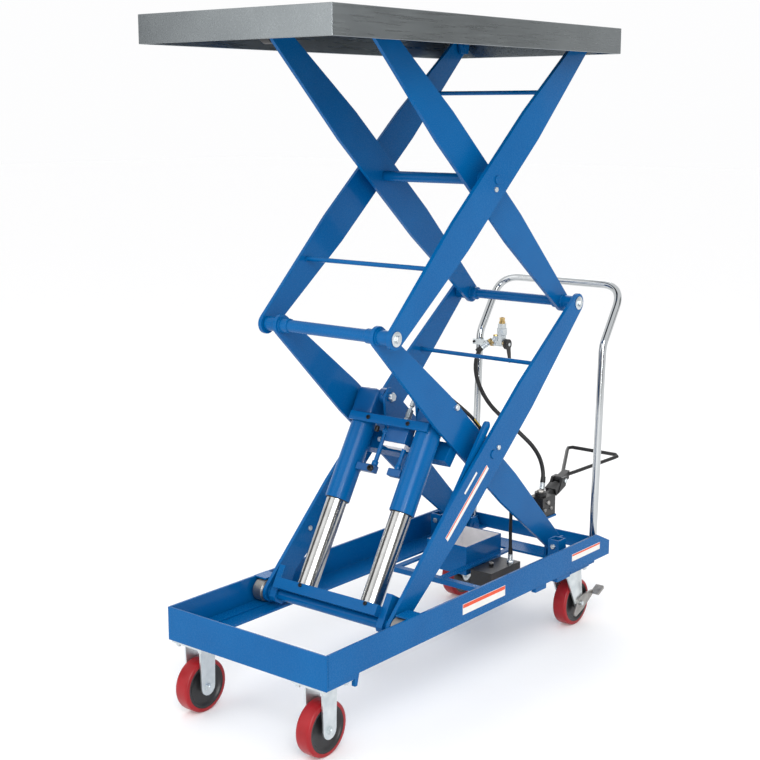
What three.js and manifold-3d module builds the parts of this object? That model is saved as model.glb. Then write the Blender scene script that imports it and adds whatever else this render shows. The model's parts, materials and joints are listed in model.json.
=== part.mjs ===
// A mobile double-scissor lift table: base frame on casters, two scissor stages, twin hydraulic rams,
// a pan deck, a push handle and an air-over-oil foot pump. Millimetres, +Z up, +X towards the handle.
import * as THREE from "three";
import { mergeVertices } from "three/addons/utils/BufferGeometryUtils.js";
import Module from "manifold-3d";

const wasm = await Module();
wasm.setup();

// ---- driving dimensions -------------------------------------------------------------------------
const GAP = 0.3; // between pieces that touch
const RUN = 0.6; // radial clearance of a turning pin

const BASE = { length: 1176, width: 484, top: 252, bottom: 182, wall: 6, flange: 83 };
const REAR_TOP = 221; // the rear plate is lower than the rails, which are chamfered down to it
const CHAMFER = 67;

const DECK = { front: -6, length: 1104, width: 548, bottom: 1512, top: 1574.5, sheet: 3 };
const ORIGIN_X = 741.8; // middle of the object's length, counted from the front plate

const HALF_SPAN = 382.5; // of a leg, pin to pin, measured along X and Z in the raised position
const HALF_RISE = 331;
const HALF_LEG = Math.hypot(HALF_SPAN, HALF_RISE);
const LEG_ANGLE = Math.atan2(HALF_RISE, HALF_SPAN);
const REAR_PIVOT = { x: 1056, z: 220 };
const FRONT_X = REAR_PIVOT.x - 2 * HALF_SPAN;
const CENTRE_X = REAR_PIVOT.x - HALF_SPAN;
const LOWER_CENTRE_Z = REAR_PIVOT.z + HALF_RISE;
const MIDDLE_Z = REAR_PIVOT.z + 2 * HALF_RISE;
const UPPER_CENTRE_Z = REAR_PIVOT.z + 3 * HALF_RISE;
const DECK_PIN_Z = REAR_PIVOT.z + 4 * HALF_RISE;

const LEG = { thick: 10, half: 44.6, plateau: 190, end: 25 };
const OUTER_Y = 186.5; // inner face of the outer legs
const INNER_Y = 140; // inner face of the inner legs
const PIN = 10;
const HUB = 17;

const ROLLER = { radius: 27, near: 200, far: 228 };
const DECK_ROLLER = { radius: 24, near: 154, far: 182 };

const RAM = {
  angle: THREE.MathUtils.degToRad(59.08),
  offset: -11.5, // the ram axes pass below the roller axle
  y: 100,
  rod: 25.5,
  barrel: 31,
  bore: 26.3,
  rodEnd: 300,
  barrelStart: 260,
  barrelEnd: 482,
  pivot: 540,
};

const WHEEL = { radius: 63.5, width: 38, y: 186, segments: 26 };
const FRONT_AXLE_X = 45;
const SWIVEL_X = 1042;
const TRAIL = 32;
const FRONT_PLATE_TOP = 171.7;
const REAR_PLATE_TOP = 171.7;

const HANDLE = { y: 200, tube: 10.5, foot: 189, bend: 752, top: 905, corner: 66 };

// ---- materials ----------------------------------------------------------------------------------
function paint(color, roughness, metalness) {
  return new THREE.MeshStandardMaterial({ color, roughness, metalness });
}
const BLUE = () => paint(0x0a63b8, 0.42, 0.1);
const STEEL = () => paint(0x9a9a96, 0.4, 0.9);
const CHROME = () => paint(0xd8dadd, 0.12, 1);
const ZINC = () => paint(0xb9c0c4, 0.35, 0.85);
const STAINLESS = () => paint(0xaab0b4, 0.3, 0.95);
const RED = () => paint(0xa01628, 0.38, 0);
const BLACK = () => paint(0x16171a, 0.5, 0);
const NYLON = () => paint(0x1c1c1e, 0.55, 0);
const RUBBER = () => paint(0x101012, 0.7, 0);

// ---- solids -------------------------------------------------------------------------------------
function solid(geometry) {
  const bare = geometry.index ? geometry.toNonIndexed() : geometry.clone();
  bare.deleteAttribute("normal");
  bare.deleteAttribute("uv");
  const merged = mergeVertices(bare, 1e-3);
  return new wasm.Manifold(
    new wasm.Mesh({
      numProp: 3,
      vertProperties: merged.attributes.position.array,
      triVerts: new Uint32Array(merged.index.array),
    }),
  );
}

function geometryOf(made) {
  const m = made.getMesh();
  const points = new Float32Array(m.numVert * 3);
  for (let i = 0; i < m.numVert; i += 1) {
    points.set(m.vertProperties.subarray(i * m.numProp, i * m.numProp + 3), i * 3);
  }
  const geometry = new THREE.BufferGeometry();
  geometry.setAttribute("position", new THREE.BufferAttribute(points, 3));
  geometry.setIndex(new THREE.BufferAttribute(new Uint32Array(m.triVerts), 1));
  const flat = geometry.toNonIndexed();
  flat.computeVertexNormals();
  return flat;
}

const join = (...pieces) => pieces.reduce((whole, piece) => whole.add(piece));
const cut = (body, ...tools) => tools.reduce((whole, tool) => whole.subtract(tool), body);

function block(x0, x1, y0, y1, z0, z1) {
  const g = new THREE.BoxGeometry(x1 - x0, y1 - y0, z1 - z0);
  return solid(g.translate((x0 + x1) / 2, (y0 + y1) / 2, (z0 + z1) / 2));
}

const sidesOf = (radius) => (radius <= 12 ? 12 : 16);

// A round bar along Y, between two values of y.
function barY(x, z, radius, y0, y1, segments = sidesOf(radius)) {
  const g = new THREE.CylinderGeometry(radius, radius, Math.abs(y1 - y0), segments);
  return solid(g.translate(x, (y0 + y1) / 2, z));
}

function barX(y, z, radius, x0, x1, segments = sidesOf(radius)) {
  const g = new THREE.CylinderGeometry(radius, radius, x1 - x0, segments);
  return solid(g.rotateZ(Math.PI / 2).translate((x0 + x1) / 2, y, z));
}

function barZ(x, y, radius, z0, z1, segments = sidesOf(radius)) {
  const g = new THREE.CylinderGeometry(radius, radius, z1 - z0, segments);
  return solid(g.rotateX(Math.PI / 2).translate(x, y, (z0 + z1) / 2));
}

// A flat plate with its outline in X and Z, between two values of y.
function plate(outline, y0, y1, segments = 6) {
  const isShape = outline instanceof THREE.Shape;
  const shape = isShape ? outline : new THREE.Shape(outline.map(([x, z]) => new THREE.Vector2(x, z)));
  const g = new THREE.ExtrudeGeometry(shape, {
    depth: Math.abs(y1 - y0),
    bevelEnabled: false,
    curveSegments: segments,
  });
  return solid(g.rotateX(Math.PI / 2).translate(0, Math.max(y0, y1), 0));
}

// A round tube or rod along a curve.
function rodAlong(curve, radius, steps, sides = 12) {
  const ring = new THREE.Shape();
  ring.absarc(0, 0, radius, 0, 2 * Math.PI, false);
  const g = new THREE.ExtrudeGeometry(ring, { steps, extrudePath: curve, curveSegments: sides });
  return solid(g);
}

// Straight runs through the points, with each corner rounded to the radius.
function bentPath(points, radius) {
  const path = new THREE.CurvePath();
  const p = points.map((q) => new THREE.Vector3(...q));
  let from = p[0];
  for (let i = 1; i < p.length - 1; i += 1) {
    const before = p[i - 1].clone().sub(p[i]).normalize();
    const after = p[i + 1].clone().sub(p[i]).normalize();
    const setBack = radius / Math.tan(before.angleTo(after) / 2);
    const start = p[i].clone().addScaledVector(before, setBack);
    const end = p[i].clone().addScaledVector(after, setBack);
    path.add(new THREE.LineCurve3(from, start));
    path.add(new THREE.QuadraticBezierCurve3(start, p[i], end));
    from = end;
  }
  path.add(new THREE.LineCurve3(from, p[p.length - 1]));
  return path;
}

// A turned piece about Y: profile points are [radius, y].
function turned(profile, segments = 32) {
  const g = new THREE.LatheGeometry(
    profile.map(([r, y]) => new THREE.Vector2(r, y)),
    segments,
  );
  return solid(g);
}

function add(group, name, made, material) {
  const mesh = new THREE.Mesh(geometryOf(made), material);
  mesh.name = name;
  group.add(mesh);
  return mesh;
}

// A group whose local frame sits at a point of the XZ plane, tilted up from +X by the angle.
function frameAt(parent, x, z, angle) {
  const group = new THREE.Group();
  group.position.set(x, 0, z);
  group.rotation.y = -angle;
  parent.add(group);
  return group;
}

const SIDES = [
  ["left", -1],
  ["right", 1],
];
// y0 and y1 are distances from the middle plane; side is -1 for left and 1 for right.
const spanY = (side, y0, y1) => (side < 0 ? [-y1, -y0] : [y0, y1]);
const sideBlock = (side, x0, x1, y0, y1, z0, z1) => block(x0, x1, ...spanY(side, y0, y1), z0, z1);
const sideBar = (side, x, z, r, y0, y1, segments) => barY(x, z, r, ...spanY(side, y0, y1), segments);
const sidePlate = (side, outline, y0, y1, segments) => plate(outline, ...spanY(side, y0, y1), segments);

const table = new THREE.Group();
table.position.x = -ORIGIN_X;

// ---- base frame ---------------------------------------------------------------------------------
const chassis = new THREE.Group();
table.add(chassis);

const HALF_W = BASE.width / 2;
const PAD_INNER = HALF_W - BASE.flange; // caster pads reach from here to the rail's web

function rail(side) {
  const rear = BASE.length;
  const web = sidePlate(
    side,
    [
      [BASE.wall + GAP, BASE.bottom],
      [rear, BASE.bottom],
      [rear, REAR_TOP],
      [rear - CHAMFER, BASE.top],
      [BASE.wall + GAP, BASE.top],
    ],
    HALF_W - BASE.wall,
    HALF_W,
  );
  const start = BASE.wall + GAP;
  const flangeTop = BASE.bottom + BASE.wall;
  const flange = sideBlock(side, start, rear - start, PAD_INNER, HALF_W - 1, BASE.bottom, flangeTop);
  const trackTop = REAR_PIVOT.z - ROLLER.radius - 0.5;
  const wearStrip = sideBlock(side, 20, 430, ROLLER.near - 2, ROLLER.far + 4, BASE.bottom + 2, trackTop);
  const rollerGuard = sideBlock(side, 284, 330, ROLLER.near + 2, HALF_W - 1, BASE.top - 3, BASE.top + 1);
  const frontPad = sideBlock(side, start, 104, PAD_INNER, HALF_W - 1, FRONT_PLATE_TOP + GAP, BASE.bottom + 2);
  const frontTab = sidePlate(side, [[98, 184], [98, 152], [106, 152], [114, 184]], HALF_W - 14, HALF_W - 4);
  const rearPad = sideBlock(side, 990, 1112, PAD_INNER, HALF_W - 8, REAR_PLATE_TOP, BASE.bottom + 2);
  const spacer = sideBlock(side, 918, 982, PAD_INNER, HALF_W - 5, 167, BASE.bottom + 2);
  const rearPlate = sideBlock(
    side, SWIVEL_X - 48, SWIVEL_X + 48, WHEEL.y - 44, WHEEL.y + 44, REAR_PLATE_TOP - 5, REAR_PLATE_TOP + 1,
  );
  const rearTab = sideBlock(side, 812, 862, HALF_W - 16, HALF_W - 3, 168, BASE.bottom + 2);
  const post = cut(
    sideBlock(side, 966, 1000, 176, 210, BASE.bottom + 2, 262),
    sideBlock(side, 970, 996, 180, 206, BASE.bottom + 20, 270),
  );
  const casterMounts = join(frontPad, frontTab, rearPad, rearPlate, spacer, rearTab);
  return join(web, flange, wearStrip, rollerGuard, casterMounts, post);
}
for (const [tag, side] of SIDES) {
  add(chassis, `rail_${tag}`, rail(side), BLUE());
}

function frontEndPlate() {
  const face = block(0, BASE.wall, -HALF_W, HALF_W, FRONT_PLATE_TOP + GAP, BASE.top);
  const reach = PAD_INNER - GAP;
  const foot = block(1, 60, -reach, reach, FRONT_PLATE_TOP + GAP, FRONT_PLATE_TOP + GAP + 5);
  return join(face, foot);
}
add(chassis, "front_end_plate", frontEndPlate(), BLUE());

const PUMP = { base: 240, front: 1180, rear: 1246 };
function rearEndPlate() {
  const inside = HALF_W - BASE.wall - GAP;
  const face = block(BASE.length - BASE.wall, BASE.length, -inside, inside, BASE.bottom, REAR_TOP);
  const riser = block(BASE.length - BASE.wall, BASE.length, -28, 28, REAR_TOP - 10, PUMP.base);
  const shelf = block(BASE.length - BASE.wall, 1248, -28, 28, PUMP.base - 6, PUMP.base);
  return join(face, riser, shelf);
}
add(chassis, "rear_end_plate", rearEndPlate(), BLUE());

// Two cross straps joined by bars along X, with an open tray welded between the bars.
const TRAY = { x0: 836, x1: 1000, y0: -5, y1: 126, z0: 158, z1: 236, wall: 3 };
const FLANGE_EDGE = HALF_W - BASE.flange - GAP;
const STRAP_TOP = BASE.bottom + BASE.wall;
function crossBrace() {
  const strap = (x0, x1) => block(x0, x1, -FLANGE_EDGE, FLANGE_EDGE, BASE.bottom, STRAP_TOP);
  const lip = (x0, x1) => block(x0, x1, -FLANGE_EDGE, FLANGE_EDGE, BASE.bottom - 8, BASE.bottom + 1);
  const bar = (y0, y1) => block(720, 1032, y0, y1, BASE.bottom, STRAP_TOP);
  const { x0, x1, y0, y1, z0, z1, wall } = TRAY;
  const box = block(x0, x1, y0, y1, z0, z1);
  const inside = block(x0 + wall, x1 - wall, y0 + wall, y1 - wall, z0 + wall, z1 + 1);
  return cut(
    join(strap(702, 722), lip(702, 706), strap(1030, 1100), lip(1094, 1100), bar(y0 - 16, y0 + 1),
      bar(y1 - 1, y1 + 16), box),
    inside,
  );
}
add(chassis, "cross_brace", crossBrace(), BLUE());

function reservoir() {
  const box = block(830, 968, -90, -24, 122, BASE.bottom - GAP);
  const oilPort = barZ(940, -76, 8, BASE.bottom - 2, 190);
  const plug = barZ(888, -50, 7, BASE.bottom - 2, 188, 6);
  return join(box, oilPort, plug);
}
add(chassis, "reservoir", reservoir(), BLACK());

// Ears that hold the lower rear ends of the inner legs, with the pivot pin through them.
function basePivot(side) {
  const under = BASE.bottom + BASE.wall + GAP;
  const outline = [[1030, under], [1082, under], [1076, 232], [1066, 244], [1046, 244], [1036, 232]];
  const ear = (y0, y1) => sidePlate(side, outline, y0, y1);
  const floor = sideBlock(side, 1028, 1084, 122, 158, under, BASE.bottom + 10);
  const foot = sideBlock(side, 1028, 1084, 156, 176, under, 193);
  const pin = sideBar(side, REAR_PIVOT.x, REAR_PIVOT.z, PIN, 120, 170);
  return join(ear(123, 131), ear(156, 164), floor, foot, pin);
}
for (const [tag, side] of SIDES) {
  add(chassis, `base_pivot_${tag}`, basePivot(side), BLUE());
}

// ---- push handle --------------------------------------------------------------------------------
function pushHandle() {
  const half = [
    [1157, HANDLE.y, HANDLE.foot],
    [1181, HANDLE.y, HANDLE.bend],
    [1283, HANDLE.y, HANDLE.top],
  ];
  const points = [...half, ...[...half].reverse().map(([x, y, z]) => [x, -y, z])];
  const feet = SIDES.map(([, side]) => sideBlock(side, 1136, 1169, 182, 218, BASE.bottom + 6 + GAP, 193));
  return join(rodAlong(bentPath(points, HANDLE.corner), HANDLE.tube, 40, 5), ...feet);
}
add(chassis, "push_handle", pushHandle(), CHROME());

// ---- foot pump ----------------------------------------------------------------------------------
const PEDAL_PIVOT = { x: 1305, z: 324 };
function footPump() {
  const body = block(PUMP.front, PUMP.rear, -24, 24, PUMP.base + GAP, 297);
  const cap = barZ(1204, 0, 17, 292, 309);
  const inlet = rodAlong(
    new THREE.LineCurve3(new THREE.Vector3(1233.6, 16.2, 285), new THREE.Vector3(1239.9, 18, 306.1)), 8, 1, 6,
  );
  const nose = new THREE.LineCurve3(new THREE.Vector3(1238, 0, 282), new THREE.Vector3(1290, 0, 314));
  const cheekShape = [[1268, 292], [1308, 308], [1316, 336], [1292, 334]];
  const cheeks = [-16, 16].map((y) => plate(cheekShape, y - 4, y + 4));
  const yoke = plate([[1262, 288], [1284, 298], [1280, 320], [1256, 308]], -18, 18);
  const pin = barY(PEDAL_PIVOT.x, PEDAL_PIVOT.z, 5, -22, 22);
  return join(body, cap, inlet, rodAlong(nose, 12, 1, 8), ...cheeks, yoke, pin);
}
add(chassis, "foot_pump", footPump(), BLACK());

// A wire loop on a lever that turns between the pump's cheeks.
const LOOP = { x: 1497, y: 90, z: 373, wire: 5.5 };
function footPedal() {
  const arm = cut(
    join(
      barY(PEDAL_PIVOT.x, PEDAL_PIVOT.z, 11.5, -11, 11),
      plate([[1306, 313], [1340, 322], [1342, 346], [1308, 335]], -11, 11),
    ),
    barY(PEDAL_PIVOT.x, PEDAL_PIVOT.z, 5 + RUN, -40, 40),
  );
  const half = [[1334, 6, 334], [1350, 16, 338], [LOOP.x, LOOP.y, LOOP.z]];
  const other = [...half].reverse().map(([x, y, z]) => [x, -y, z]);
  return join(arm, rodAlong(bentPath([...half, ...other], 12), LOOP.wire, 36, 4));
}
add(table, "foot_pedal", footPedal(), BLACK());

// ---- air valve on the right post ----------------------------------------------------------------
const VALVE = { x: 1180, z: 726 };
function airValve() {
  const postFoot = new THREE.Vector3(1157, HANDLE.y, HANDLE.foot);
  const postBend = new THREE.Vector3(1181, HANDLE.y, HANDLE.bend);
  const strap = cut(
    block(VALVE.x - 15, VALVE.x + 14, HANDLE.y - 34, HANDLE.y + 14, VALVE.z - 8, VALVE.z + 8),
    rodAlong(new THREE.LineCurve3(postFoot, postBend), HANDLE.tube + 1, 1, 8),
  );
  const body = barY(VALVE.x, VALVE.z, 9, 112, 170);
  const neck = barZ(1178, 143, 8.5, VALVE.z - 4, 747);
  const portStart = new THREE.Vector3(1177.5, 142.3, 739);
  const portEnd = new THREE.Vector3(1163.2, 157.8, 728.2);
  const port = rodAlong(new THREE.LineCurve3(portStart, portEnd), 7, 1, 6);
  const coupler = barZ(VALVE.x, 124, 13, VALVE.z - 2, 784, 6);
  const leverPin = barY(VALVE.x, VALVE.z, 5, 98, 114);
  return join(strap, body, neck, port, coupler, leverPin);
}
add(chassis, "air_valve", airValve(), ZINC());

function airLever() {
  const knuckle = cut(
    barY(VALVE.x, VALVE.z, 15, 100, 110.7),
    barY(VALVE.x, VALVE.z, 5 + RUN, 90, 120),
  );
  const bladeShape = [[VALVE.x + 12, 722], [VALVE.x - 6, 718], [VALVE.x + 8, 672], [VALVE.x + 17, 672]];
  const blade = plate(bladeShape, 102, 106);
  return join(knuckle, blade);
}
add(table, "air_lever", airLever(), BLACK());

// ---- front casters ------------------------------------------------------------------------------
const forkGap = WHEEL.width / 2 + 3;
function frontFork(side) {
  const y = WHEEL.y;
  const x = FRONT_AXLE_X;
  const reach = forkGap + 4;
  const top = sideBlock(side, 3, 96, y - 48, y + 48, FRONT_PLATE_TOP - 5, FRONT_PLATE_TOP);
  const under = FRONT_PLATE_TOP - 4;
  const bridge = sideBlock(side, x - 24, x + 24, y - reach, y + reach, under - 5, under);
  const leg = new THREE.Shape();
  leg.moveTo(x - 24, FRONT_PLATE_TOP - 4);
  leg.lineTo(x - 21, WHEEL.radius);
  leg.absarc(x, WHEEL.radius, 21, Math.PI, 2 * Math.PI, false);
  leg.lineTo(x + 24, FRONT_PLATE_TOP - 4);
  const legs = [-1, 1].map((s) => {
    const at = y + s * (forkGap + 2);
    return sidePlate(side, leg, at - 2, at + 2, 4);
  });
  const axle = sideBar(side, x, WHEEL.radius, 6, y - forkGap - 12, y + forkGap + 12);
  const head = sideBar(side, x, WHEEL.radius, 10, y + forkGap + 3, y + forkGap + 11, 6);
  const nut = sideBar(side, x, WHEEL.radius, 10, y - forkGap - 11, y - forkGap - 3, 6);
  return join(top, bridge, ...legs, axle, head, nut);
}

// Polyurethane tread, and a core with a hub, dished on both faces.
function tread() {
  const r = WHEEL.radius;
  const h = WHEEL.width / 2;
  const band = [[r - 10, -h], [r - 3, -h], [r, -h + 4], [r, h - 4], [r - 3, h], [r - 10, h], [r - 10, -h]];
  return turned(band, WHEEL.segments);
}
function core() {
  const r = WHEEL.radius - 10 - GAP;
  const h = WHEEL.width / 2;
  const bore = 6 + RUN;
  return turned(
    [[bore, -h - 2], [14, -h - 2], [18, -h + 6], [r - 8, -h + 6], [r, -h + 0.5],
      [r, h - 0.5], [r - 8, h - 6], [18, h - 6], [14, h + 2], [bore, h + 2], [bore, -h - 2]],
    WHEEL.segments,
  );
}
function wheel(name, x, side) {
  const group = new THREE.Group();
  group.position.set(x, side * WHEEL.y, WHEEL.radius);
  table.add(group);
  add(group, `${name}_tread`, tread(), RED());
  add(group, `${name}_core`, core(), BLACK());
}
for (const [tag, side] of SIDES) {
  add(chassis, `front_fork_${tag}`, frontFork(side), ZINC());
  wheel(`front_wheel_${tag}`, FRONT_AXLE_X, side);
}

// ---- rear swivel casters ------------------------------------------------------------------------
const REAR_AXLE_X = SWIVEL_X + TRAIL;
const CROWN_Z = REAR_PLATE_TOP - 17;
function rearFork(side) {
  const y = WHEEL.y;
  const centre = side * y;
  const race = barZ(SWIVEL_X, centre, 34, REAR_PLATE_TOP - 18, REAR_PLATE_TOP - 5 - GAP);
  const reach = forkGap + 4;
  const crown = sideBlock(side, SWIVEL_X - 34, SWIVEL_X + 36, y - reach, y + reach, CROWN_Z - 7, CROWN_Z);
  const leg = new THREE.Shape();
  leg.moveTo(SWIVEL_X - 34, CROWN_Z);
  leg.lineTo(REAR_AXLE_X - 19, WHEEL.radius - 2);
  leg.absarc(REAR_AXLE_X, WHEEL.radius, 18, 1.18 * Math.PI, 2 * Math.PI, false);
  leg.lineTo(SWIVEL_X + 40, CROWN_Z);
  const legs = [-1, 1].map((s) => {
    const at = y + s * (forkGap + 2);
    return sidePlate(side, leg, at - 2, at + 2, 4);
  });
  const axle = sideBar(side, REAR_AXLE_X, WHEEL.radius, 6, y - forkGap - 12, y + forkGap + 16);
  const nut = sideBar(side, REAR_AXLE_X, WHEEL.radius, 10, y - forkGap - 11, y - forkGap - 3, 6);
  return join(race, crown, ...legs, axle, nut);
}

// The wheel lock: a stamped lever on the outside of the fork, with a tread at its end.
function brakePedal(side) {
  const y = WHEEL.y + forkGap + 4 + GAP;
  const outline = [[1041, 38], [1053, 30], [1091, 44], [1141, 74], [1137, 84], [1085, 84], [1061, 76]];
  const arm = cut(
    sidePlate(side, outline, y, y + 5),
    sideBar(side, REAR_AXLE_X, WHEEL.radius, 6 + RUN, y - 5, y + 20),
  );
  const footPlate = sidePlate(side, [[1129, 76], [1137, 72], [1165, 84], [1163, 92]], y, y + 24);
  return join(arm, footPlate);
}
for (const [tag, side] of SIDES) {
  add(table, `rear_fork_${tag}`, rearFork(side), ZINC());
  wheel(`rear_wheel_${tag}`, REAR_AXLE_X, side);
  add(table, `brake_pedal_${tag}`, brakePedal(side), ZINC());
}

// ---- scissor legs -------------------------------------------------------------------------------
// A leg lies along its local X with the centre pivot at the origin and an end pin at each end.
function legShape() {
  const a = HALF_LEG;
  const taper = Math.atan2(LEG.half - LEG.end, a - LEG.plateau);
  const shape = new THREE.Shape();
  shape.moveTo(-LEG.plateau, -LEG.half);
  shape.lineTo(LEG.plateau, -LEG.half);
  shape.absarc(a, 0, LEG.end, -Math.PI / 2 + taper, Math.PI / 2 - taper, false);
  shape.lineTo(LEG.plateau, LEG.half);
  shape.lineTo(-LEG.plateau, LEG.half);
  shape.absarc(-a, 0, LEG.end, Math.PI / 2 + taper, 1.5 * Math.PI - taper, false);
  return shape;
}

function leg(side, inner, holes) {
  const y0 = inner ? INNER_Y : OUTER_Y;
  const bar = sidePlate(side, legShape(), y0, y0 + LEG.thick, 5);
  return cut(bar, ...holes.map(([x, r]) => sideBar(side, x, 0, r, y0 - 5, y0 + LEG.thick + 5)));
}

// A shaft across the table: a tube between two hubs, and a pin that turns in each outer leg.
function hubShaft(tubeRadius, hubStart) {
  const tube = barY(0, 0, tubeRadius, -hubStart - 2, hubStart + 2);
  const ends = [-1, 1].flatMap((s) => [
    sideBar(s, 0, 0, HUB, hubStart, OUTER_Y - GAP),
    sideBar(s, 0, 0, PIN, hubStart, OUTER_Y + LEG.thick + 4),
    sideBar(s, 0, 0, 17, OUTER_Y + LEG.thick + GAP, OUTER_Y + LEG.thick + 3),
    sideBar(s, 0, 0, 9, OUTER_Y + LEG.thick + 2.5, OUTER_Y + LEG.thick + 9, 6),
  ]);
  return join(tube, ...ends);
}

// The centre pin of a stage, welded to the inner leg and turning in the outer one.
function centrePin(side) {
  return join(
    sideBar(side, 0, 0, 16, INNER_Y + 4, OUTER_Y - GAP),
    sideBar(side, 0, 0, PIN, INNER_Y + 4, OUTER_Y + LEG.thick + 2),
  );
}

const lowerInner = frameAt(table, CENTRE_X, LOWER_CENTRE_Z, -LEG_ANGLE);
const lowerOuter = frameAt(table, CENTRE_X, LOWER_CENTRE_Z, LEG_ANGLE);
const upperInner = frameAt(table, CENTRE_X, UPPER_CENTRE_Z, -LEG_ANGLE);
const upperOuter = frameAt(table, CENTRE_X, UPPER_CENTRE_Z, LEG_ANGLE);
const TIE = 5.5;
const tieRod = (x, z) => barY(x, z, TIE, -(OUTER_Y - GAP), OUTER_Y - GAP, 16);

for (const [tag, side] of SIDES) {
  // Lower inner legs: fixed pivot at the rear (+X), shared shaft at the front (-X).
  const lowerInnerLeg = leg(side, true, [[HALF_LEG, PIN + RUN], [-HALF_LEG, HUB + GAP]]);
  add(lowerInner, `inner_lower_leg_${tag}`, join(lowerInnerLeg, centrePin(side)), BLUE());

  // Lower outer legs: roller axle at the front (-X), open pivot at the rear (+X).
  const lowerOuterLeg = leg(side, false, [[-HALF_LEG, PIN + GAP], [0, PIN + RUN], [HALF_LEG, PIN + RUN]]);
  const lowerKeeper = sideBar(side, 24, -2.5, 6, OUTER_Y + LEG.thick - 1, OUTER_Y + LEG.thick + 4, 6);
  add(lowerOuter, `outer_lower_leg_${tag}`, join(lowerOuterLeg, lowerKeeper), BLUE());

  // Upper inner legs: shared shaft at the rear (+X), deck roller at the front (-X).
  const upperInnerLeg = leg(side, true, [[HALF_LEG, HUB + GAP]]);
  const rollerStub = join(
    sideBar(side, -HALF_LEG, 0, 14, INNER_Y + 4, DECK_ROLLER.near - 3),
    sideBar(side, -HALF_LEG, 0, PIN, INNER_Y + 4, DECK_ROLLER.far + 3),
    sideBar(side, -HALF_LEG, 0, 13, DECK_ROLLER.far + GAP, DECK_ROLLER.far + 3),
  );
  add(upperInner, `inner_upper_leg_${tag}`, join(upperInnerLeg, centrePin(side), rollerStub), BLUE());

  // Upper outer legs: shared shaft at the front (-X), fixed deck pivot at the rear (+X).
  const upperOuterLeg = leg(side, false, [[-HALF_LEG, PIN + RUN], [0, PIN + RUN], [HALF_LEG, PIN + RUN]]);
  const upperKeeper = sideBar(side, -20, -12, 6, OUTER_Y + LEG.thick - 1, OUTER_Y + LEG.thick + 4, 6);
  add(upperOuter, `outer_upper_leg_${tag}`, join(upperOuterLeg, upperKeeper), BLUE());
}

const frontShaft = frameAt(lowerInner, -HALF_LEG, 0, 0);
add(frontShaft, "front_middle_shaft", hubShaft(14.5, 118), BLUE());
const rearShaft = frameAt(upperInner, HALF_LEG, 0, 0);
add(rearShaft, "rear_middle_shaft", hubShaft(12.5, 122), BLUE());

add(upperInner, "upper_centre_tube", barY(0, 0, 13, -INNER_Y + GAP, INNER_Y - GAP), BLUE());
add(lowerOuter, "lower_tie_rod", tieRod(288, 4), BLUE());
add(upperOuter, "upper_tie_rod_front", tieRod(-309, 16), BLUE());
add(upperOuter, "upper_tie_rod_rear", tieRod(320, -7), BLUE());

// The roller axle is welded between the lower outer legs and carries a roller outside each.
const AXLE_TUBE = 14;
function rollerAxle() {
  const tube = barY(0, 0, AXLE_TUBE, -(OUTER_Y - GAP), OUTER_Y - GAP);
  const ends = [-1, 1].flatMap((s) => [
    sideBar(s, 0, 0, PIN, OUTER_Y - 4, ROLLER.far + 3),
    sideBar(s, 0, 0, 13, ROLLER.far + GAP, ROLLER.far + 3),
  ]);
  return join(tube, ...ends);
}
const axleFrame = frameAt(lowerOuter, -HALF_LEG, 0, 0);
add(axleFrame, "roller_axle", rollerAxle(), BLUE());

function roller(side, spec, x, z) {
  const y0 = spec.near;
  const y1 = spec.far;
  const body = join(
    sideBar(side, x, z, spec.radius, y0, y1, 24),
    sideBar(side, x, z, 15, y0 - 2, y1),
  );
  return cut(body, sideBar(side, x, z, PIN + RUN, y0 - 10, y1 + 10));
}
for (const [tag, side] of SIDES) {
  add(table, `base_roller_${tag}`, roller(side, ROLLER, FRONT_X, REAR_PIVOT.z), STEEL());
  add(table, `deck_roller_${tag}`, roller(side, DECK_ROLLER, FRONT_X, DECK_PIN_Z), NYLON());
}

// Cross member between the lower inner legs, with the two plates that hold the rams' upper pin.
const RAM_PIN = 8;
const ramFrame = frameAt(table, FRONT_X, REAR_PIVOT.z, RAM.angle);
const ramPinWorld = {
  x: FRONT_X + RAM.pivot * Math.cos(RAM.angle) - RAM.offset * Math.sin(RAM.angle),
  z: REAR_PIVOT.z + RAM.pivot * Math.sin(RAM.angle) + RAM.offset * Math.cos(RAM.angle),
};
const toLeg = (x, z) => ({
  x: (x - CENTRE_X) * Math.cos(LEG_ANGLE) - (z - LOWER_CENTRE_Z) * Math.sin(LEG_ANGLE),
  z: (x - CENTRE_X) * Math.sin(LEG_ANGLE) + (z - LOWER_CENTRE_Z) * Math.cos(LEG_ANGLE),
});
function ramBracket() {
  const beam = block(-92, -60, -(INNER_Y - GAP), INNER_Y - GAP, -82, -32);
  const pin = toLeg(ramPinWorld.x, ramPinWorld.z);
  const outline = [
    [pin.x - 20, pin.z - 14], [pin.x - 20, pin.z + 14], [pin.x - 12, pin.z + 19], [-22, pin.z + 16],
    [-62, -60], [-90, -60],
  ];
  const plates = [-1, 1].flatMap((s) => [
    sidePlate(s, outline, 46, 54),
    sideBar(s, pin.x, pin.z, 11, 38, 47, 6),
  ]);
  return join(beam, ...plates);
}
add(lowerInner, "ram_bracket", ramBracket(), BLUE());

// ---- rams ---------------------------------------------------------------------------------------
// Local X runs up the rams from the roller axle. The yoke saddles the axle and holds both rods.
function yoke() {
  const bar = cut(block(9, 35, -158, 158, -38, 40), barY(0, 0, AXLE_TUBE + RUN, -170, 170));
  const lugs = [-1, 1].map((s) =>
    cut(
      sidePlate(s, [[-21, -13], [-13, -21], [68, -21], [68, 21], [-13, 21], [-21, 13]], 157, 175),
      sideBar(s, 0, 0, AXLE_TUBE + RUN, 130, 180),
    ),
  );
  return join(bar, ...lugs);
}
add(ramFrame, "ram_yoke", yoke(), BLUE());

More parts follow.
